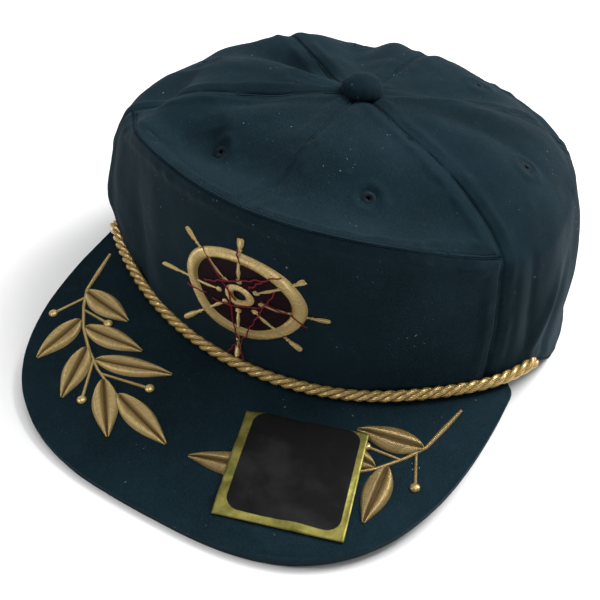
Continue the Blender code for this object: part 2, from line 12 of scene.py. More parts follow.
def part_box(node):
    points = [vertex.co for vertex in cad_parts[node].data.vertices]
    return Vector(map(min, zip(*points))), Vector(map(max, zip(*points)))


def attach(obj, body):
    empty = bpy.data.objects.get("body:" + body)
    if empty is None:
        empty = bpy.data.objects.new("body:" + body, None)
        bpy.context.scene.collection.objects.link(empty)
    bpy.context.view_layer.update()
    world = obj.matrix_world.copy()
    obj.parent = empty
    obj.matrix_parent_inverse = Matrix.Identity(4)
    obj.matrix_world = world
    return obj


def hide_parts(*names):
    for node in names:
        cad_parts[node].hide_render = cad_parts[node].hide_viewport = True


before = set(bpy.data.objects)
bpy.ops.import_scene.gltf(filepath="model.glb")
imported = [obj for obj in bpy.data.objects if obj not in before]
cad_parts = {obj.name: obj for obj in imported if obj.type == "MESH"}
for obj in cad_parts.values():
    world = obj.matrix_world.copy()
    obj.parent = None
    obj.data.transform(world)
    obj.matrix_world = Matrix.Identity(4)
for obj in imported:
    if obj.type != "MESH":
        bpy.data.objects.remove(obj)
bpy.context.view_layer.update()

# The surface and the light: a white sheet under a wide soft lamp behind on the right, two weaker ones
# overhead and at the front left, and a pale room. The camera stands where the photo's did, measured from
# the bill's own plane, which leans forward.
bill_length, bill_thickness, bill_tilt = 0.0706, 0.0032, math.radians(8.0)
front_wall_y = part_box("bill")[0].y + bill_length * math.cos(bill_tilt)
bill_seat_level = bill_length * math.sin(bill_tilt) + bill_thickness * math.cos(bill_tilt)
bill_plane = Matrix.Translation((0, front_wall_y, bill_seat_level)) @ Matrix.Rotation(bill_tilt, 4, "X")
camera_place, camera_turn, camera_lean = (0.1312, -0.1847, 0.2870), math.radians(30), math.radians(42)
camera_data = bpy.data.cameras.new("camera")
camera_data.lens = 57
camera_data.sensor_width = 36
camera = bpy.data.objects.new("camera", camera_data)
bpy.context.scene.collection.objects.link(camera)
camera.matrix_world = (bill_plane @ Matrix.Translation(camera_place)
                       @ Matrix.Rotation(camera_turn, 4, "Z") @ Matrix.Rotation(camera_lean, 4, "X"))
bpy.context.scene.camera = camera

sheet_reach, sheet_white, sheet_roughness = 6, 0.90, 0.9
bpy.ops.object.select_all(action="DESELECT")
bpy.ops.mesh.primitive_plane_add(size=sheet_reach, location=(0, 0, 0))
floor = bpy.context.object
floor.name = "floor"
floor_finish = bpy.data.materials.new("pale_paper")
floor_finish.use_nodes = True
floor_shader = floor_finish.node_tree.nodes["Principled BSDF"]
floor_shader.inputs["Base Color"].default_value = (sheet_white, sheet_white, sheet_white, 1)
floor_shader.inputs["Roughness"].default_value = sheet_roughness
floor.data.materials.append(floor_finish)
bpy.context.scene.view_settings.view_transform = "Standard"

room_strength = 0.40
world = bpy.data.worlds.new("studio")
bpy.context.scene.world = world
world.use_nodes = True
world.node_tree.nodes["Background"].inputs["Color"].default_value = (1.0, 1.0, 1.0, 1)
world.node_tree.nodes["Background"].inputs["Strength"].default_value = room_strength


def soft_lamp(name, place, size, power):
    """A square lamp that faces the origin."""
    lamp_data = bpy.data.lights.new(name, "AREA")
    lamp_data.energy = power
    lamp_data.size = size
    lamp = bpy.data.objects.new(name, lamp_data)
    bpy.context.scene.collection.objects.link(lamp)
    lamp.location = place
    lamp.rotation_euler = (-Vector(place)).to_track_quat("-Z", "Y").to_euler()


soft_lamp("window", (0.42, 0.60, 0.90), 0.6, 17)
soft_lamp("ceiling", (0.02, 0.05, 1.20), 0.8, 4.5)
soft_lamp("desk", (-0.40, -0.45, 0.55), 0.25, 1.3)


# Navy cotton twill, the cloth of every panel, the bill and the button. It is a dull blue-black with a fine
# diagonal weave, faint worn patches and a bloom of pale lint where it has been handled.
class Wire:
    """A shader socket whose operators add Math nodes."""

    def __init__(self, finish, socket):
        self.finish, self.socket = finish, socket

    def maths(self, operation, other=None):
        inputs = {0: self} if other is None else {0: self, 1: other}
        return self.finish.add("ShaderNodeMath", {"operation": operation}, inputs)

    def __add__(self, other):
        return self.maths("ADD", other)

    def __sub__(self, other):
        return self.maths("SUBTRACT", other)

    def __mul__(self, other):
        return self.maths("MULTIPLY", other)

    def __rsub__(self, other):
        return self.finish.add("ShaderNodeMath", {"operation": "SUBTRACT"}, {0: other, 1: self})

    __radd__ = __add__
    __rmul__ = __mul__

    def smooth(self, low, high):
        """0 below low, 1 above high, and a soft step between them."""
        return self.finish.add("ShaderNodeMapRange", {"interpolation_type": "SMOOTHSTEP"},
                               {"Value": self, "From Min": low, "From Max": high})


class Finish:
    """A material under construction."""

    def __init__(self, name):
        self.material = bpy.data.materials.new(name)
        self.material.use_nodes = True
        self.tree = self.material.node_tree
        self.shader = self.tree.nodes["Principled BSDF"]

    def add(self, kind, settings=None, inputs=None, output=0):
        node = self.tree.nodes.new(kind)
        for key, value in (settings or {}).items():
            setattr(node, key, value)
        for key, value in (inputs or {}).items():
            self.join(value, node.inputs[key])
        return Wire(self, node.outputs[output])

    def join(self, value, socket):
        if isinstance(value, Wire):
            self.tree.links.new(value.socket, socket)
        elif isinstance(value, tuple) and len(value) == 3 and socket.type == "RGBA":
            socket.default_value = (*value, 1)
        else:
            socket.default_value = value

    def object_place(self):
        return self.add("ShaderNodeTexCoord", output="Object")

    def surface_place(self):
        return self.add("ShaderNodeTexCoord", output="UV")

    def axis(self, vector, name):
        return self.add("ShaderNodeSeparateXYZ", None, {0: vector}, output=name)

    def cloud(self, place, scale, detail=3.0, roughness=0.55):
        return self.add("ShaderNodeTexNoise", None, {"Vector": place, "Scale": scale, "Detail": detail,
                                                     "Roughness": roughness})

    def stretched(self, place, scale=(1, 1, 1), rotation=(0, 0, 0)):
        return self.add("ShaderNodeMapping", None, {"Vector": place, "Rotation": rotation, "Scale": scale})

    def bands(self, place, scale, direction, distortion, **inputs):
        """Stripes from 0 to 1 that run across a direction."""
        inputs = {"Vector": place, "Scale": scale, "Distortion": distortion, **inputs}
        settings = {"wave_type": "BANDS", "bands_direction": direction}
        return self.add("ShaderNodeTexWave", settings, inputs, output=1)

    def blend(self, mask, colour_a, colour_b):
        """Colour a where the mask is 0, and colour b where it is 1."""
        node = self.tree.nodes.new("ShaderNodeMix")
        node.data_type = "RGBA"
        mask_socket, a_socket, b_socket, colour_socket = 0, 6, 7, 2
        self.join(mask, node.inputs[mask_socket])
        self.join(colour_a, node.inputs[a_socket])
        self.join(colour_b, node.inputs[b_socket])
        return Wire(self, node.outputs[colour_socket])

    def bump(self, height, distance, strength=1.0):
        inputs = {"Height": height, "Distance": distance, "Strength": strength}
        return self.add("ShaderNodeBump", None, inputs)

    def tint(self, socket, red, green, blue):
        self.shader.inputs[socket].default_value = (red, green, blue, 1)

    def set(self, **sockets):
        for key, value in sockets.items():
            self.join(value, self.shader.inputs[key.replace("_", " ")])


def toned(colour, share):
    """A colour made darker or paler by a share."""
    return tuple(share * channel for channel in colour)


navy_lit, navy_dark, thread_gain = (0.0042, 0.0132, 0.0190), (0.0024, 0.0080, 0.0112), 1.9
fuzz_colour, wear_colour, lint_colour = (0.07, 0.11, 0.13), (0.016, 0.034, 0.045), (0.42, 0.46, 0.48)
patch_scale, weave_scale, thread_scale, fuzz_scale = 28, 620, 1500, 420
lint_scale, lint_patch_scale, wear_scale = 900, 60, 150
lint_amount, wear_amount, fuzz_amount, thread_amount = 0.34, 0.20, 0.14, 0.45
navy_twill = Finish("navy_twill")
place = navy_twill.object_place()
patches = navy_twill.cloud(place, patch_scale, 4)
thread = navy_twill.cloud(navy_twill.stretched(place, (1, 1, 3), (0.6, 0.4, 0.8)), thread_scale, 2)
weave = navy_twill.bands(place, weave_scale, "DIAGONAL", 0.6, Detail=1, **{"Detail Scale": 3})
fuzz = navy_twill.cloud(place, fuzz_scale, 5, 0.7)
speck = navy_twill.cloud(place, lint_scale, 2, 0.4)
lint = speck.smooth(0.72, 0.77) * navy_twill.cloud(place, lint_patch_scale, 3).smooth(0.52, 0.62)
wear = navy_twill.cloud(place, wear_scale, 6, 0.75)
base = navy_twill.blend(patches.smooth(0.35, 0.68), navy_dark, navy_lit)
base = navy_twill.blend(thread.smooth(0.30, 0.75) * thread_amount, base, toned(navy_lit, thread_gain))
base = navy_twill.blend(fuzz.smooth(0.62, 0.80) * fuzz_amount, base, fuzz_colour)
base = navy_twill.blend(wear.smooth(0.50, 0.72) * wear_amount, base, wear_colour)
base = navy_twill.blend(lint * lint_amount, base, lint_colour)
navy_relief = weave * 0.5 + thread * 0.7 + fuzz * 1.2
navy_twill.set(Base_Color=base, Roughness=patches * 0.12 + 0.80,
               Normal=navy_twill.bump(navy_relief, 0.00022, 0.55))
navy_twill.set(Sheen_Weight=0.06, Sheen_Roughness=0.45, Specular_IOR_Level=0.06)
navy_twill.tint("Sheen Tint", 0.45, 0.62, 0.75)


# The crown: seven panels of twill sewn edge to edge, six of which meet under the button. Each is worked up
# from its solid. Its sewn edges draw in along the seams, with a ridge where the seam allowance is turned
# back, and the cloth between them is creased and dented by years of use.
crown_length, top_shift, core_level = 0.0906, 0.0110, 0.03
crown_y = front_wall_y + crown_length
top_y = crown_y - top_shift
crown_core = Vector((0, crown_y, core_level))
seam_sink, seam_width, seam_close, seam_reach = 0.00095, 0.0008, 0.00014, 0.0025
hem_lift, hem_place, hem_width = 0.00065, 0.0044, 0.0020
pucker_scale, pucker_share = 190, 0.7
slack_scale, slack_depth, slack_shift = 34, 0.0011, Vector((5, 3, 1))
rumple_scale, rumple_depth, uneven_scale, uneven_depth = 85, 0.00042, 240, 0.00010
shoulder_low, shoulder_high = 70, 82
rim_low, rim_high = 6, 24
wall_mm_per_degree = 1.55
smooth_rounds, merge_distance, border_steps = 3, 0.00001, 8
CREASES = (
    # azimuth and reach (mm) round the button at each end, half width (mm), lift (mm)
    (-127, 20, -108, 62, 6.5, -5.2),
    (-152, 24, -149, 60, 7.0, -2.6),
    (-172, 16, 162, 50, 6.5, -1.3),
    (150, 22, 142, 74, 8.0, -2.4),
    (-55, 26, -52, 60, 6.5, -3.6),
    (-70, 14, -66, 66, 7.0, 1.6),
    (-95, 12, -92, 60, 7.0, 1.2),
    (120, 12, 110, 66, 6.5, 1.8),
    (98, 24, 96, 74, 5.5, -1.5),
    (84, 16, 82, 70, 6.0, 1.0),
    (-126, 66, -100, 86, 12.0, 8.0),
    (-82, 76, -56, 92, 10.0, -7.0),
    (-167, 42, -166, 86, 9.0, 6.5),
    (-40, 60, -24, 70, 5.5, -4.6),
    (-52, 82, -36, 73, 3.4, 3.2),
    (-36, 73, -16, 77, 3.0, 2.6),
    (-16, 76, -4, 80, 2.6, 0.9),
    (62, 22, 66, 70, 7.5, -0.9),
    (30, 30, 38, 80, 9.0, 0.9),
    (-20, 24, -14, 68, 8.0, -1.0),
)
WALL_FOLDS = (
    # azimuth and height (mm) at each end, half width (mm), lift (mm)
    (-60, 20, -56, 50, 9.0, 3.6),
    (-88, 77, -58, 75, 9.0, -4.5),
    (112, 76, 148, 76, 9.0, -3.6),
    (-28, 24, -25, 80, 6.5, 1.6),
    (-38, 14, -37, 70, 6.0, -2.0),
    (-49, 20, -47, 74, 5.5, 1.4),
    (78, 56, 66, 22, 3.0, 1.6),
    (84, 50, 72, 14, 4.0, -1.8),
    (63, 24, 62, 76, 2.4, 0.8),
    (67, 22, 66, 70, 2.0, -0.9),
    (92, 30, 100, 66, 8.0, 1.6),
    (112, 16, 108, 58, 8.0, -1.8),
    (134, 20, 128, 62, 9.0, 2.0),
    (-72, 18, -70, 62, 7.0, -1.6),
    (-96, 20, -90, 60, 8.0, 1.8),
    (-116, 14, -112, 60, 8.0, -1.6),
    (-138, 24, -132, 60, 8.0, 1.6),
    (10, 60, 46, 66, 6.0, 0.5),
    (4, 16, 40, 20, 7.0, -0.5),
)


def worked_copy(node, name, finish, crease=0.55, angle=50):
    """A smoothed copy of a solid whose sewn edges stay crisp, and the points of those edges."""
    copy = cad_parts[node].copy()
    copy.data = copy.data.copy()
    copy.parent = None
    copy.name = name
    for key in list(copy.keys()):
        del copy[key]
    bpy.context.scene.collection.objects.link(copy)
    bpy.ops.object.select_all(action="DESELECT")
    copy.hide_viewport = False
    copy.select_set(True)
    bpy.context.view_layer.objects.active = copy
    bpy.ops.object.mode_set(mode="EDIT")
    bpy.ops.mesh.select_all(action="SELECT")
    bpy.ops.mesh.remove_doubles(threshold=merge_distance)
    bpy.ops.mesh.tris_convert_to_quads(face_threshold=math.radians(40), shape_threshold=math.radians(60))
    bpy.ops.mesh.select_all(action="DESELECT")
    bpy.ops.mesh.select_mode(type="EDGE")
    bpy.ops.mesh.edges_select_sharp(sharpness=math.radians(angle))
    bpy.ops.object.mode_set(mode="OBJECT")
    border = []
    for edge in copy.data.edges:
        if edge.select:
            a, b = (copy.data.vertices[corner].co for corner in edge.vertices)
            border += [a.lerp(b, step / border_steps) for step in range(border_steps)]
    bpy.ops.object.mode_set(mode="EDIT")
    bpy.ops.transform.edge_crease(value=crease)
    bpy.ops.object.mode_set(mode="OBJECT")
    smooth = copy.modifiers.new("smooth", "SUBSURF")
    smooth.levels = smooth_rounds
    smooth.render_levels = smooth_rounds
    bpy.ops.object.modifier_apply(modifier="smooth")
    bpy.ops.object.shade_smooth()
    copy.data.materials.clear()
    copy.data.materials.append(finish.material)
    tree = KDTree(max(1, len(border)))
    for number, point in enumerate(border):
        tree.insert(point, number)
    tree.balance()
    return copy, tree


def line_lift(u, v, folds):
    """What the creases add at a place, in metres. Each runs between two ends and fades away from them."""
    total = 0.0
    for ua, va, ub, vb, half, lift in folds:
        along_u, along_v = ub - ua, vb - va
        share = ((u - ua) * along_u + (v - va) * along_v) / (along_u ** 2 + along_v ** 2)
        held = min(1.0, max(0.0, share))
        away = math.hypot(u - ua - held * along_u, v - va - held * along_v)
        if away < 2.6 * half:
            ends = min(1.0, 0.35 + 2.6 * held * (1 - held))
            total += lift * ends * math.exp(-(away / half) ** 2)
    return total / 1000


def polar_line(fold):
    """A crease of the top, with its ends as places across and along the crown in mm."""
    a0, r0, a1, r1, half, lift = fold
    return (r0 * math.sin(math.radians(a0)), -r0 * math.cos(math.radians(a0)),
            r1 * math.sin(math.radians(a1)), -r1 * math.cos(math.radians(a1)), half, lift)


TOP_LINES = [polar_line(fold) for fold in CREASES]
WALL_LINES = [(wall_mm_per_degree * a0, z0, wall_mm_per_degree * a1, z1, half, lift)
              for a0, z0, a1, z1, half, lift in WALL_FOLDS]


def soft_step(value, low, high):
    """0 below low, 1 above high, and a soft step between them."""
    share = min(1.0, max(0.0, (value - low) / (high - low)))
    return share * share * (3 - 2 * share)


def creased(place):
    """How far the cloth at a place of the crown stands off its plain form."""
    x, y, z = (1000 * value for value in (place.x, place.y - top_y, place.z))
    top = soft_step(z, shoulder_low, shoulder_high)
    lift = 0.0
    if top > 0:
        lift += top * line_lift(x, y, TOP_LINES)
    if top < 1:
        azimuth = math.degrees(math.atan2(place.x, crown_y - place.y))
        free = soft_step(z, rim_low, rim_high)
        lift += (1 - top) * free * line_lift(wall_mm_per_degree * azimuth, z, WALL_LINES)
    slack = noise.noise(place * slack_scale) * slack_depth
    slack += noise.noise(place * rumple_scale + slack_shift) * rumple_depth
    uneven = noise.noise(Vector((place.x, place.y, place.z * 0.6)) * uneven_scale) * uneven_depth
    return lift + slack * soft_step(z, 0, 30) + uneven


def moved(thing, push):
    """Move each point by what a function says of its place and normal."""
    count = len(thing.data.vertices)
    places = np.empty(count * 3)
    normals = np.empty(count * 3)
    thing.data.vertices.foreach_get("co", places)
    thing.data.vertex_normals.foreach_get("vector", normals)
    places, normals = places.reshape(-1, 3), normals.reshape(-1, 3)
    pushes = np.array([push(Vector(place), Vector(normal)) for place, normal in zip(places, normals)])
    thing.data.vertices.foreach_set("co", (places + pushes).ravel())
    thing.data.update()


def crown_push(border):
    """The creases move all of the wall out from the crown's core, so the seams stay closed."""
    def push(place, normal):
        from_core = place - crown_core
        facing = from_core.dot(normal) / from_core.length
        near = border.find(place)[2]
        lift = 0.0
        if near < seam_reach and abs(facing) < 0.5:
            lift = seam_close
        elif facing > 0:
            pucker = 1 + pucker_share * noise.noise(place * pucker_scale)
            lift = -seam_sink * math.exp(-(near / seam_width) ** 2)
            lift += hem_lift * pucker * math.exp(-((near - hem_place) / hem_width) ** 2)
        return from_core.normalized() * creased(place) + normal * lift
    return push


crown_nodes = ("front_panel", "upper_front_left", "upper_front_right", "side_left", "side_right",
               "back_left", "back_right")
panels = {}
for node in crown_nodes:
    panel, panel_border = worked_copy(node, node + "_cloth", navy_twill)
    moved(panel, crown_push(panel_border))
    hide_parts(node)
    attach(panel, "root")
    panels[node] = panel


# The bill: a flat board covered above and below in the same twill, seamed round its edge, where the cloth
# is pulled tight over the board and shows a thin dark line.
bill_edge_groove, groove_place, groove_width = 0.00025, 0.0016, 0.0005
ripple_scale, ripple_depth, grain_scale, grain_depth = 60, 0.00022, 210, 0.00006
bill, bill_border = worked_copy("bill", "bill_cloth", navy_twill, crease=0.45, angle=40)


def bill_push(place, normal):
    if abs(normal.z) <= 0.5:
        return Vector()
    ripple = noise.noise(place * ripple_scale) * ripple_depth + noise.noise(place * grain_scale) * grain_depth
    from_groove = bill_border.find(place)[2] - groove_place
    return normal * (ripple - bill_edge_groove * math.exp(-(from_groove / groove_width) ** 2))


moved(bill, bill_push)
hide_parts("bill")
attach(bill, "root")


# The rope: three strands of shiny rayon, each of many fine yarns, twisted together and tacked along the
# bill's seam with its ends tucked in. The strands are wound along the solid's own middle line.
strand_pitch = 0.0138
strand_radius = 0.00108
strand_offset = 0.00122
rope_shift = Vector((0, 0.0005, 0.0005))
strand_sides, strand_end, strand_taper = 14, 0.45, 0.003
rope_end_left, rope_end_right, rope_rings = 69.0, 58.0, 41
rope_spacing = 0.0006


def rope_line():
    """The middle of each ring of the rope's solid, from right to left, a little smoothed."""
    rings = [[] for _ in range(rope_rings)]
    step = (rope_end_left + rope_end_right) / (rope_rings - 1)
    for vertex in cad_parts["rope"].data.vertices:
        azimuth = math.degrees(math.atan2(vertex.co.x, crown_y - vertex.co.y))
        number = min(rope_rings - 1, max(0, round((azimuth + rope_end_right) / step)))
        rings[number].append(vertex.co.copy())
    middles = [sum(ring, Vector()) / len(ring) for ring in rings if ring]
    for _ in range(2):
        inner = [(a + 2 * b + c) / 4 for a, b, c in zip(middles, middles[1:], middles[2:])]
        middles = [middles[0], *inner, middles[-1]]
    return middles


def even_line(points, spacing):
    """The same line with points at an even spacing."""
    lengths = [0.0]
    for a, b in zip(points, points[1:]):
        lengths.append(lengths[-1] + (b - a).length)
    places = np.linspace(0, lengths[-1], int(lengths[-1] / spacing) + 1)
    columns = [np.interp(places, lengths, [point[axis] for point in points]) for axis in range(3)]
    return [Vector(point) for point in zip(*columns)]


def finished(shape, name, finish):
    """The object of a mesh that was made face by face."""
    bmesh.ops.recalc_face_normals(shape, faces=shape.faces)
    mesh = bpy.data.meshes.new(name)
    shape.to_mesh(mesh)
    shape.free()
    made = bpy.data.objects.new(name, mesh)
    bpy.context.scene.collection.objects.link(made)
    mesh.materials.append(finish.material)
    return made


def heading_at(points, place):
    """The direction of a line of points at one of them."""
    return (points[min(place + 1, len(points) - 1)] - points[max(place - 1, 0)]).normalized()


def tube(name, centres, radii, sides, finish):
    """A tube round a line, whose UV runs along it in mm and round it from 0 to 1."""
    shape = bmesh.new()
    uv = shape.loops.layers.uv.new("yarn")
    rings, runs = [], [0.0]
    side = Vector((0, 0, 1))
    for number, (centre, radius) in enumerate(zip(centres, radii)):
        ahead = heading_at(centres, number)
        side = (side - ahead * side.dot(ahead)).normalized()
        other = ahead.cross(side)
        if number:
            runs.append(runs[-1] + (centre - centres[number - 1]).length)
        rings.append([shape.verts.new(centre + (side * math.cos(turn) + other * math.sin(turn)) * radius)
                      for turn in (2 * math.pi * step / sides for step in range(sides))])
    for number in range(len(rings) - 1):
        for step in range(sides):
            after = (step + 1) % sides
            face = shape.faces.new((rings[number][step], rings[number][after],
                                    rings[number + 1][after], rings[number + 1][step]))
            face.smooth = True
            corners = ((number, step), (number, step + 1), (number + 1, step + 1), (number + 1, step))
            for loop, (run, turn) in zip(face.loops, corners):
                loop[uv].uv = (1000 * runs[run], turn / sides)
    shape.faces.new(list(reversed(rings[0])))
    shape.faces.new(rings[-1])
    return finished(shape, name, finish)


def gold_yarn(name, pale, deep, threads, slant, depth, coat):
    """Shiny gold thread whose filaments follow a UV. With no threads round it, it is satin stitch: each
    stitch starts at a vein or an inner edge, at 0 across, and ends at an outer edge. Its colour is
    darkened as painted shade towards both ends of the stitch, and most at 0 across."""
    gold = Finish(name)
    place = gold.surface_place()
    along, across = gold.axis(place, "X"), gold.axis(place, "Y")
    phase = across * threads + along * slant
    filament = (phase * (2 * math.pi)).maths("SINE") * 0.5 + 0.5
    grain = gold.cloud(gold.object_place(), 900, 3)
    tone = gold.cloud(gold.object_place(), 130, 2)
    colour = gold.blend(filament * 0.65 + grain * 0.35, deep, pale)
    colour = gold.blend(tone.smooth(0.35, 0.7) * 0.35, colour, toned(pale, 0.62))
    # Painted shade: the satin is darkened towards both ends of each stitch, and most at 0 across, by a vein
    # or an inner edge.
    if threads == 0:
        edge = (across - 0.5).maths("ABSOLUTE") * 2
        colour = gold.blend(edge.smooth(0.60, 1.0) * 0.40, colour, toned(deep, 0.55))
        colour = gold.blend((1 - across).smooth(0.45, 0.95) * 0.80, colour, toned(deep, 0.8))
    streak = gold.cloud(gold.stretched(place, (0.8, 0.5, 1)), 2.2, 2)
    colour = gold.blend(streak.smooth(0.42, 0.62) * 0.70, colour, toned(pale, 0.36))
    gold.set(Base_Color=colour, Roughness=0.26 - filament * 0.04,
             Normal=gold.bump(filament + grain * 0.5, depth))
    gold.set(Metallic=0.45, Specular_IOR_Level=0.60, Coat_Weight=coat, Coat_Roughness=0.14)
    gold.tint("Specular Tint", 1.0, 0.82, 0.45)
    gold.tint("Coat Tint", 1.0, 0.86, 0.55)
    return gold


rope_gold = gold_yarn("rope_gold", (0.84, 0.67, 0.35), (0.19, 0.128, 0.046), 8.0, -0.40, 0.00007, 0.8)
rope_points = even_line(rope_line(), rope_spacing)
strands = []
for number in range(3):
    centres, radii = [], []
    up = Vector((0, 0, 1))
    for place, point in enumerate(rope_points):
        ahead = heading_at(rope_points, place)
        up = (up - ahead * up.dot(ahead)).normalized()
        turn = -2 * math.pi * (place * rope_spacing / strand_pitch + number / 3)
        from_end = min(place, len(rope_points) - 1 - place) * rope_spacing
        full = min(1.0, strand_end + from_end / strand_taper)
        outward = up * math.cos(turn) + ahead.cross(up) * math.sin(turn)
        centres.append(point + rope_shift + outward * strand_offset * full)
        radii.append(strand_radius * full)
    strands.append(tube("rope_strand_%d" % (number + 1), centres, radii, strand_sides, rope_gold))
for strand in strands:
    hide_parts("rope")
    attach(strand, "root")


# The button: a metal shell covered in a disc of the same twill, gathered under its edge, over the point
# where the six panels meet.
button_low, button_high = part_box("top_button")
button_middle = (button_low + button_high) / 2
button_reach = (button_high.x - button_low.x) / 2
gathers, gather_depth, button_slack_scale, button_slack = 19, 0.00007, 300, 0.00015
button, _ = worked_copy("top_button", "top_button_cloth", navy_twill, crease=0.2, angle=80)


def button_push(place, normal):
    x, y = place.x - button_middle.x, place.y - button_middle.y
    turn = math.atan2(y, x)
    edge = soft_step(math.hypot(x, y) / button_reach, 0.70, 1.0)
    gather = edge * gather_depth * math.sin(gathers * turn + 2 * math.sin(3 * turn))
    return normal * (gather + noise.noise(place * button_slack_scale) * button_slack)


moved(button, button_push)
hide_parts("top_button")
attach(button, "root")


# Six eyelets: small vent holes bound with a ring of navy thread, one in each upper panel. Every stitch
# runs from the hole outwards, so that the ring is ribbed.
eyelet_thread = Finish("eyelet_thread")
eyelet_grain = eyelet_thread.cloud(eyelet_thread.object_place(), 1100, 3)
eyelet_colour = eyelet_thread.blend(eyelet_grain, (0.003, 0.008, 0.011), (0.009, 0.020, 0.027))
eyelet_thread.set(Base_Color=eyelet_colour, Roughness=eyelet_grain * 0.2 + 0.5,
                  Normal=eyelet_thread.bump(eyelet_grain, 0.0001), Specular_IOR_Level=0.10)
EYELET_SECTION = (
    # reach and height, in mm
    (0.75, -1.00),
    (0.72, 0.02),
    (0.95, 0.18),
    (1.45, 0.26),
    (2.00, 0.20),
    (2.50, 0.04),
    (2.75, -0.20),
    (2.75, -1.00),
)
EYELET_PANELS = (
    "upper_front_left", "side_left", "back_left",
    "upper_front_right", "side_right", "back_right",
)
stitches, stitch_columns, stitch_dip = 34, 34 * 4, 0.16
probe_reach, probe_lift = 0.0022, 0.01


def eyelet_seat(node, panel):
    """Where an eyelet sits on the creased cloth of its panel, and how it is turned."""
    points = np.array([vertex.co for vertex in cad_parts[node].data.vertices])
    middle = points.mean(axis=0)
    normal = Vector(np.linalg.svd(points - middle)[2][2]).normalized()
    if normal.z < 0:
        normal = -normal
    cloth_face = BVHTree.FromObject(panel, bpy.context.evaluated_depsgraph_get())
    above = Vector(middle) + normal * probe_lift
    aside = normal.orthogonal() * probe_reach
    a, b = (cloth_face.ray_cast(above + offset, -normal)[0] for offset in (aside, -aside))
    return Matrix.Translation((a + b) / 2) @ normal.to_track_quat("Z", "Y").to_matrix().to_4x4()


for number, panel_node in enumerate(EYELET_PANELS, start=1):
    node = "eyelet_%d" % number
    seat = eyelet_seat(node, panels[panel_node])
    ring = bmesh.new()
    columns = []
    for column in range(stitch_columns):
        turn = 2 * math.pi * column / stitch_columns
        x, y = math.cos(turn), math.sin(turn)
        dip = stitch_dip * (0.5 - 0.5 * math.cos(stitches * turn))
        wobble = 1 + 0.05 * noise.noise(Vector((3 * x, 3 * y, number)))
        section = [(reach * wobble, height - dip if height > 0 else height)
                   for reach, height in EYELET_SECTION]
        columns.append([ring.verts.new(seat @ (Vector((reach * x, reach * y, height)) / 1000))
                        for reach, height in section])
    for column in range(stitch_columns):
        after = (column + 1) % stitch_columns
        for row in range(len(EYELET_SECTION)):
            above = (row + 1) % len(EYELET_SECTION)
            face = ring.faces.new((columns[column][row], columns[after][row],
                                   columns[after][above], columns[column][above]))
            face.smooth = True
    eyelet = finished(ring, node + "_thread", eyelet_thread)
    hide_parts(node)
    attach(eyelet, "root")


# The laurels: two branches in satin stitch on the bill, a mirror of each other, one of them in a darker copy
# of the same gold as painted shade.
# Each leaf is two lobes of slanting thread that fall away from a sunk vein, and the berries are small knots
# on thin stalks.
satin_gold = gold_yarn("satin_gold", (1.0, 0.80, 0.40), (0.38, 0.26, 0.09), 0.0, 1.0, 0.00012, 0.3)
# The same satin gold, made darker and duller for the left branch: painted shade, since the thread itself is
# the same.
painted_shade_gold = gold_yarn("painted_shade_gold", (0.56, 0.43, 0.20), (0.16, 0.105, 0.035), 0.0, 1.0, 0.00012, 0.3)
vein_thread = Finish("vein_thread")
vein_grain = vein_thread.cloud(vein_thread.object_place(), 800, 2)
vein_colour = vein_thread.blend(vein_grain, (0.05, 0.028, 0.014), (0.12, 0.075, 0.035))
vein_thread.set(Base_Color=vein_colour, Roughness=0.7, Specular_IOR_Level=0.10)
laurel_length, laurel_setback = 0.0800, 0.0015
thread_width, thread_rise, thread_seat, thread_sink = 0.00036, 0.00010, 0.0003, 0.0001
thread_rows, satin_columns, full_width = 4, 6, 0.0022
leaf_crown, leaf_shear, vein_half, leaf_tip_half = 0.00130, 0.16, 0.00022, 0.0003
leaf_start, leaf_run = 0.02, 0.94
stem_crown, vein_crown = 0.0006, 0.00035
knot_turns, knot_rows, knot_height, berry_radius = 18, 4, 0.0009, 0.0019
LAUREL_STEM = (
    # across, forward, width, as shares of laurel_length
    (1.010, -0.285, 0.016),
    (0.982, -0.150, 0.026),
    (0.955, -0.020, 0.018),
    (0.900, 0.075, 0.017),
    (0.810, 0.190, 0.017),
    (0.700, 0.285, 0.017),
    (0.590, 0.360, 0.015),
    (0.450, 0.425, 0.015),
    (0.400, 0.440, 0.010),
)
LAUREL_LEAVES = (
    # base across, base forward, tip across, tip forward, width
    (0.955, -0.010, 0.630, 0.048, 0.135),
    (0.850, 0.150, 0.885, 0.465, 0.125),
    (0.810, 0.185, 0.455, 0.165, 0.125),
    (0.715, 0.275, 0.625, 0.590, 0.125),
    (0.640, 0.325, 0.245, 0.205, 0.115),
    (0.530, 0.390, 0.300, 0.655, 0.125),
    (0.420, 0.430, 0.045, 0.550, 0.125),
)
LAUREL_BERRIES = (
    # stalk across, stalk forward, berry across, berry forward
    (0.930, 0.030, 1.000, 0.190),
    (0.885, 0.095, 0.720, 0.108),
    (0.640, 0.325, 0.540, 0.540),
    (0.560, 0.375, 0.305, 0.330),
)
STALK_WIDTHS, VEIN_WIDTHS = (0.0011, 0.0012, 0.0014), (0.0009, 0.0010, 0.0004)


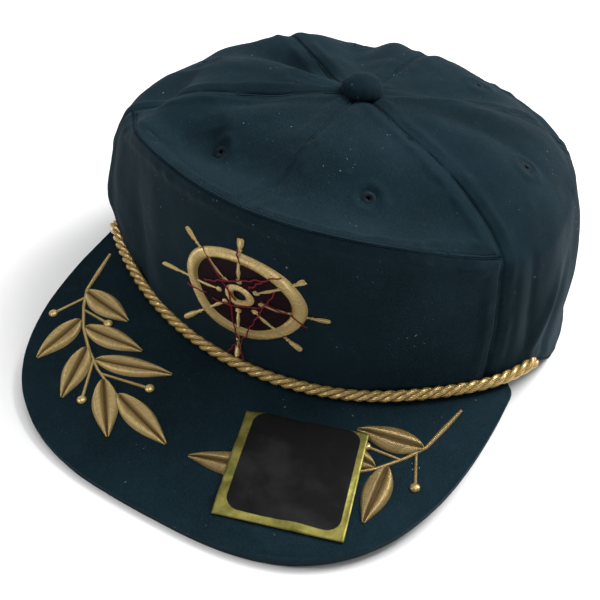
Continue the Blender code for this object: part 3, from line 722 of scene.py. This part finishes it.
def satin_patch(shape, uv, edge_a, edge_b, crown, threads, lay, sink=thread_sink):
    """A field of raised threads between two edges, which are functions of a share from 0 to 1."""
    rows = threads * thread_rows
    grid = []
    for row in range(rows + 1):
        share = row / rows
        rib = 0.5 - 0.5 * math.cos(2 * math.pi * threads * share)
        start, end = edge_a(share), edge_b(share)
        narrow = min(1.0, (end - start).length / full_width)
        line = []
        for column in range(satin_columns + 1):
            across = column / satin_columns
            arch = math.sin(math.pi * min(1.0, 0.06 + 0.90 * across)) ** 0.6
            lift = arch * (crown * narrow + thread_rise * rib)
            if column in (0, satin_columns):
                lift = -sink
            point = start.lerp(end, across)
            line.append(shape.verts.new(lay(point.x, point.y, lift)))
        grid.append(line)
    for row in range(rows):
        for column in range(satin_columns):
            face = shape.faces.new((grid[row][column], grid[row + 1][column],
                                    grid[row + 1][column + 1], grid[row][column + 1]))
            face.smooth = True
            corners = ((row, column), (row + 1, column), (row + 1, column + 1), (row, column + 1))
            for loop, (at, side) in zip(face.loops, corners):
                loop[uv].uv = (at / thread_rows, side / satin_columns)


def on_bill(x, forward, height):
    """A place over the bill, by distances across it, out from its seam and up from its face."""
    return bill_plane @ Vector((x, -forward, height))


def leaf_lobes(shape, uv, base, tip, width, lay):
    """The two lobes of a leaf, whose threads slant towards its tip."""
    side = Vector((base.y - tip.y, tip.x - base.x)).normalized()
    threads = max(8, int((tip - base).length * 0.86 / thread_width))
    for sign in (1, -1):
        def vein(share):
            return base.lerp(tip, leaf_start + leaf_run * share) + side * sign * vein_half

        def rim(share):
            place = leaf_start + leaf_run * share + leaf_shear * (1 - share) * min(1.0, share * 5)
            half = width / 2 * max(0.03, math.sin(math.pi * min(1.0, place) ** 0.8)) if place < 1 else 0.0
            return base.lerp(tip, place) + side * sign * max(leaf_tip_half, half)
        satin_patch(shape, uv, vein, rim, leaf_crown, threads, lay)


def along(points, share):
    """A point of a line of points, by its share of the line."""
    lengths = [0.0]
    for a, b in zip(points, points[1:]):
        lengths.append(lengths[-1] + (b - a).length)
    at = share * lengths[-1]
    return Vector([float(np.interp(at, lengths, [point[axis] for point in points])) for axis in range(2)])


def satin_ribbon(shape, uv, points, widths, lay, crown=stem_crown):
    """A stem or spoke whose short threads cross it."""
    length = sum((b - a).length for a, b in zip(points, points[1:]))
    threads = max(3, int(length / thread_width))
    rims = []
    for sign in (1, -1):
        rim = []
        for place, (point, width) in enumerate(zip(points, widths)):
            ahead = heading_at(points, place)
            rim.append(point + Vector((-ahead.y, ahead.x)) * sign * width / 2)
        rims.append(rim)
    satin_patch(shape, uv, lambda share: along(rims[0], share), lambda share: along(rims[1], share),
                crown, threads, lay)


def knot(shape, uv, centre, radius, lay):
    """A berry: a small dome of thread."""
    rings = []
    for row in range(knot_rows):
        tilt = math.pi / 2 * row / knot_rows
        reach, height = radius * math.cos(tilt), knot_height * math.sin(tilt)
        ring = []
        for step in range(knot_turns):
            turn = 2 * math.pi * step / knot_turns
            place = centre + Vector((math.cos(turn), math.sin(turn))) * reach
            ring.append(shape.verts.new(lay(place.x, place.y, height)))
        rings.append(ring)
    crest = shape.verts.new(lay(centre.x, centre.y, knot_height))
    for row in range(knot_rows):
        for step in range(knot_turns):
            after = (step + 1) % knot_turns
            corners = (rings[row][step], rings[row][after], crest)
            if row < knot_rows - 1:
                corners = (rings[row][step], rings[row][after], rings[row + 1][after], rings[row + 1][step])
            face = shape.faces.new(corners)
            face.smooth = True
            for loop in face.loops:
                loop[uv].uv = (6 * step / knot_turns + row * 0.3, row / knot_rows)


def laurel_lay(x, forward, height):
    return on_bill(x, forward + laurel_setback, thread_seat + height)


# The left branch takes the darker copy of the gold, which is painted shade.
for name, side, finish in (("laurel_left", 1, painted_shade_gold), ("laurel_right", -1, satin_gold)):
    across, out = Vector((side * laurel_length, 0)), Vector((0, laurel_length))
    leaves = [(across * base_x + out * base_y, across * tip_x + out * tip_y, width * laurel_length)
              for base_x, base_y, tip_x, tip_y, width in LAUREL_LEAVES]
    branch = bmesh.new()
    branch_uv = branch.loops.layers.uv.new("yarn")
    stem = [across * x + out * y for x, y, _ in LAUREL_STEM]
    satin_ribbon(branch, branch_uv, stem, [width * laurel_length for _, _, width in LAUREL_STEM], laurel_lay)
    for base, tip, width in leaves:
        leaf_lobes(branch, branch_uv, base, tip, width, laurel_lay)
    for stalk_x, stalk_y, berry_x, berry_y in LAUREL_BERRIES:
        root, berry = across * stalk_x + out * stalk_y, across * berry_x + out * berry_y
        satin_ribbon(branch, branch_uv, [root, root.lerp(berry, 0.5), berry], STALK_WIDTHS, laurel_lay)
        knot(branch, branch_uv, berry, berry_radius, laurel_lay)
    laurel = finished(branch, name + "_thread", finish)
    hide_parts(name)
    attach(laurel, "root")
    veins = bmesh.new()
    veins_uv = veins.loops.layers.uv.new("yarn")
    for base, tip, _ in leaves:
        line = [base, base.lerp(tip, 0.5), base.lerp(tip, 0.96)]
        satin_ribbon(veins, veins_uv, line, VEIN_WIDTHS, laurel_lay, crown=vein_crown)
    vein = finished(veins, name + "_vein", vein_thread)
    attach(vein, "root")


# The ship's wheel on the front panel: a satin rim, a hub and eight turned spokes with handles in gold
# thread, over a ground of maroon thread, with loose dark red threads laid across the spokes. The sewing
# left it a little wider than tall, and askew.
wheel_radius, wheel_height, wheel_side = 0.0322, 0.0513, -0.0002
wheel_stretch = Matrix(((1.043, 0.056), (0.092, 0.897)))
rim_inner, rim_pitch_line, rim_outer, rim_crown, rim_thread = 0.572, 0.7, 0.735, 0.0011, 0.00045
hub_inner, hub_outer, hub_crown, hub_threads = 0.075, 0.185, 0.0010, 46
field_inner, field_outer, field_crown, field_threads = 0.03, 0.60, 0.00012, 120
ring_sink, probe_start, outward_share = 0.0003, 0.2, 3
WHEEL_SPOKE = (
    # distance and width, as shares of wheel_radius
    (0.225, 0.030),
    (0.240, 0.085),
    (0.285, 0.090),
    (0.300, 0.028),
    (0.330, 0.040),
    (0.430, 0.062),
    (0.530, 0.036),
    (0.590, 0.045),
)
WHEEL_HANDLE = (
    # distance past the rim, as a share of the handle's length, and width
    (0.00, 0.050),
    (0.12, 0.030),
    (0.22, 0.060),
    (0.29, 0.036),
    (0.45, 0.066),
    (0.67, 0.084),
    (0.91, 0.080),
    (1.00, 0.040),
)
WHEEL_TIPS = (
    # azimuth in degrees and distance of each handle's tip, which the sewing left uneven
    (91.0, 0.965),
    (40.3, 0.880),
    (-5.3, 0.975),
    (-43.5, 1.010),
    (-89.9, 1.180),
    (-129.4, 1.230),
    (-169.2, 1.170),
    (133.1, 1.020),
)
RED_THREADS = (
    # start and end, as shares of wheel_radius across and up
    (-0.46, 0.01, 0.04, 0.33),
    (0.04, 0.33, 0.43, 0.58),
    (-0.45, 0.60, -0.02, -0.11),
    (0.41, 0.32, 0.24, -0.20),
    (0.24, -0.20, 0.05, -0.90),
    (-0.12, 0.10, 0.01, -0.80),
    (-0.11, -1.16, 0.01, -0.86),
    (0.02, -0.92, 0.13, -1.20),
    (-0.73, -0.28, -0.42, -0.20),
    (0.57, -0.03, 0.75, -0.23),
    (-0.33, -0.26, 0.25, -0.07),
    (0.31, 0.49, 0.12, 0.24),
    (0.26, 0.07, 0.55, -0.03),
    (-0.04, 0.80, 0.03, 0.60),
)
front_surface = BVHTree.FromObject(panels["front_panel"], bpy.context.evaluated_depsgraph_get())


def wheel_lay(x, up, height):
    """Over the front panel, by distances across and up its face from the wheel's middle."""
    sewn = wheel_stretch @ Vector((x, up))
    azimuth = (wheel_side + sewn.x) / crown_length
    outward = Vector((math.sin(azimuth), -math.cos(azimuth), 0))
    start = Vector((0, crown_y, wheel_height + sewn.y)) + outward * probe_start
    place, normal, _, _ = front_surface.ray_cast(start, -outward)
    lean = (normal + outward * outward_share).normalized()
    return place + lean * (thread_seat + height)


def circle_edge(share_of_radius):
    def edge(share):
        turn = 2 * math.pi * share
        return Vector((math.cos(turn), math.sin(turn))) * share_of_radius * wheel_radius
    return edge


wheel = bmesh.new()
wheel_uv = wheel.loops.layers.uv.new("yarn")
rim_threads = int(2 * math.pi * rim_pitch_line * wheel_radius / rim_thread)
satin_patch(wheel, wheel_uv, circle_edge(rim_inner), circle_edge(rim_outer), rim_crown, rim_threads,
            wheel_lay, sink=ring_sink)
satin_patch(wheel, wheel_uv, circle_edge(hub_inner), circle_edge(hub_outer), hub_crown, hub_threads,
            wheel_lay, sink=ring_sink)
for turn, reach in WHEEL_TIPS:
    heading = Vector((math.cos(math.radians(turn)), math.sin(math.radians(turn)))) * wheel_radius
    handle = [(rim_outer + (reach - rim_outer) * share, width) for share, width in WHEEL_HANDLE]
    for rows in (WHEEL_SPOKE, handle):
        line = [heading * distance for distance, _ in rows]
        satin_ribbon(wheel, wheel_uv, line, [width * wheel_radius for _, width in rows], wheel_lay)
gold_wheel = finished(wheel, "ship_wheel_thread", satin_gold)
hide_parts("ship_wheel")
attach(gold_wheel, "root")

maroon_thread = Finish("maroon_thread")
maroon_grain = maroon_thread.cloud(maroon_thread.object_place(), 700, 3)
maroon_colour = maroon_thread.blend(maroon_grain, (0.004, 0.003, 0.004), (0.015, 0.004, 0.006))
maroon_thread.set(Base_Color=maroon_colour, Roughness=0.7, Normal=maroon_thread.bump(maroon_grain, 0.0002),
                  Specular_IOR_Level=0.08)
ground = bmesh.new()
ground_uv = ground.loops.layers.uv.new("yarn")
satin_patch(ground, ground_uv, circle_edge(field_inner), circle_edge(field_outer), field_crown, field_threads,
            wheel_lay, sink=ring_sink)
wheel_field = finished(ground, "ship_wheel_field", maroon_thread)
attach(wheel_field, "root")

red_thread = Finish("red_thread")
red_grain = red_thread.cloud(red_thread.object_place(), 900, 2)
red_colour = red_thread.blend(red_grain, (0.08, 0.005, 0.012), (0.24, 0.012, 0.030))
red_thread.set(Base_Color=red_colour, Roughness=0.55, Specular_IOR_Level=0.15)
red_radius, red_sides, red_points, red_rise, red_wander = 0.00026, 8, 25, 0.0012, 0.0007
for number, (x0, y0, x1, y1) in enumerate(RED_THREADS, start=1):
    line = []
    for share in (step / (red_points - 1) for step in range(red_points)):
        wander = red_wander * noise.noise(Vector((7 * share, number, 0.5)))
        x = (x0 + (x1 - x0) * share) * wheel_radius + wander
        y = (y0 + (y1 - y0) * share) * wheel_radius - wander
        line.append(wheel_lay(x, y, red_rise * (1 - 0.5 * (2 * share - 1) ** 6)))
    loose = tube("red_thread_%d" % number, line, [red_radius] * red_points, red_sides, red_thread)
    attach(loose, "root")


# The foil label: a thin self-adhesive square of gold foil with a black printed field, stuck on the bill
# over the laurel at a slant. It is left bare, and is scuffed and a little lifted at its edges.
label_width, label_length, label_foil = 0.0458, 0.0433, 0.0002
label_place, label_turn = (0.0407, 0.0331), math.radians(16.0)
label_over_laurel, label_over_bill, label_bend = 0.00200, 0.00080, (0.0004, 0.0070)
label_cells, laurel_crest = 60, 0.0009
foil_ripple_scale, foil_ripple, foil_crease_scale, foil_crease = 95, 0.00016, 330, 0.00006
laurel_points = [vertex.co for vertex in bpy.data.objects["laurel_left_thread"].data.vertices]
laurel_tree = KDTree(len(laurel_points))
for number, point in enumerate(laurel_points):
    laurel_tree.insert(point, number)
laurel_tree.balance()


def label_lay(x, y, height):
    """Over the bill, by distances along the label's edges from its middle, draped over the laurel."""
    across = label_place[0] + x * math.cos(label_turn) - y * math.sin(label_turn)
    forward = label_place[1] - y * math.cos(label_turn) - x * math.sin(label_turn)
    near = laurel_tree.find(on_bill(across, forward, laurel_crest))[2]
    raised = 1 - soft_step(near, *label_bend)
    draped = label_over_bill + (label_over_laurel - label_over_bill) * raised
    place = on_bill(across, forward, draped + height)
    ripple = foil_ripple * noise.noise(place * foil_ripple_scale)
    ripple += foil_crease * noise.noise(place * foil_crease_scale)
    return place + Vector((0, 0, ripple))


label = bmesh.new()
label_uv = label.loops.layers.uv.new("face")
sheets = []
for height in (0.0, -label_foil):
    sheet = {}
    for row in range(label_cells + 1):
        for column in range(label_cells + 1):
            x = (column / label_cells - 0.5) * label_width
            y = (row / label_cells - 0.5) * label_length
            sheet[row, column] = label.verts.new(label_lay(x, y, height))
    sheets.append(sheet)
    for row in range(label_cells):
        for column in range(label_cells):
            corners = ((row, column), (row, column + 1), (row + 1, column + 1), (row + 1, column))
            face = label.faces.new([sheet[corner] for corner in corners])
            face.smooth = True
            for loop, (at, side) in zip(face.loops, corners):
                loop[label_uv].uv = (side / label_cells, at / label_cells)
for end in (0, label_cells):
    for step in range(label_cells):
        for a, b in (((end, step), (end, step + 1)), ((step, end), (step + 1, end))):
            face = label.faces.new((sheets[0][a], sheets[0][b], sheets[1][b], sheets[1][a]))
            for loop in face.loops:
                loop[label_uv].uv = (0.0, 0.0)
foil = Finish("gold_foil")
face_place = foil.surface_place()
field_middle, field_straight, field_corner = (0.510, 0.535), (0.325, 0.355), (0.108, 0.114)
u, v = foil.axis(face_place, "X"), foil.axis(face_place, "Y")
past_u = ((u - field_middle[0]).maths("ABSOLUTE") - field_straight[0]).maths("MAXIMUM", 0.0)
past_v = ((v - field_middle[1]).maths("ABSOLUTE") - field_straight[1]).maths("MAXIMUM", 0.0)
printed = 1 - (past_u * past_u + past_v * past_v).maths("SQRT").smooth(*field_corner)
scuff = foil.cloud(foil.object_place(), 190, 5, 0.7)
smudge = foil.cloud(foil.object_place(), 60, 4)
bright_foil = foil.blend(scuff.smooth(0.3, 0.75), (0.24, 0.21, 0.055), (0.10, 0.10, 0.022))
black_print = foil.blend(smudge.smooth(0.45, 0.72), (0.003, 0.003, 0.0035), (0.012, 0.012, 0.013))
foil.set(Base_Color=foil.blend(printed, bright_foil, black_print), Metallic=(1 - printed) * 0.75,
         Roughness=scuff * 0.25 + 0.33 + printed * 0.30, Normal=foil.bump(scuff + smudge * 2, 0.00008))
foil.set(Specular_IOR_Level=0.12)
sticker = finished(label, "foil_label", foil)
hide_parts("foil_sticker")
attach(sticker, "root")


# The strap: a plain band of woven webbing that closes the arch at the back, inside the wall.
webbing = Finish("webbing")
webbing_place = webbing.object_place()
webbing_rib = webbing.bands(webbing_place, 300, "Z", 0.4)
webbing_grain = webbing.cloud(webbing_place, 900, 3)
webbing_colour = webbing.blend(webbing_grain, (0.007, 0.014, 0.020), (0.018, 0.032, 0.042))
webbing.set(Base_Color=webbing_colour, Roughness=0.75,
            Normal=webbing.bump(webbing_rib + webbing_grain * 0.6, 0.0003))
strap, _ = worked_copy("back_strap", "back_strap_webbing", webbing, crease=0.5, angle=40)
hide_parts("back_strap")
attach(strap, "root")
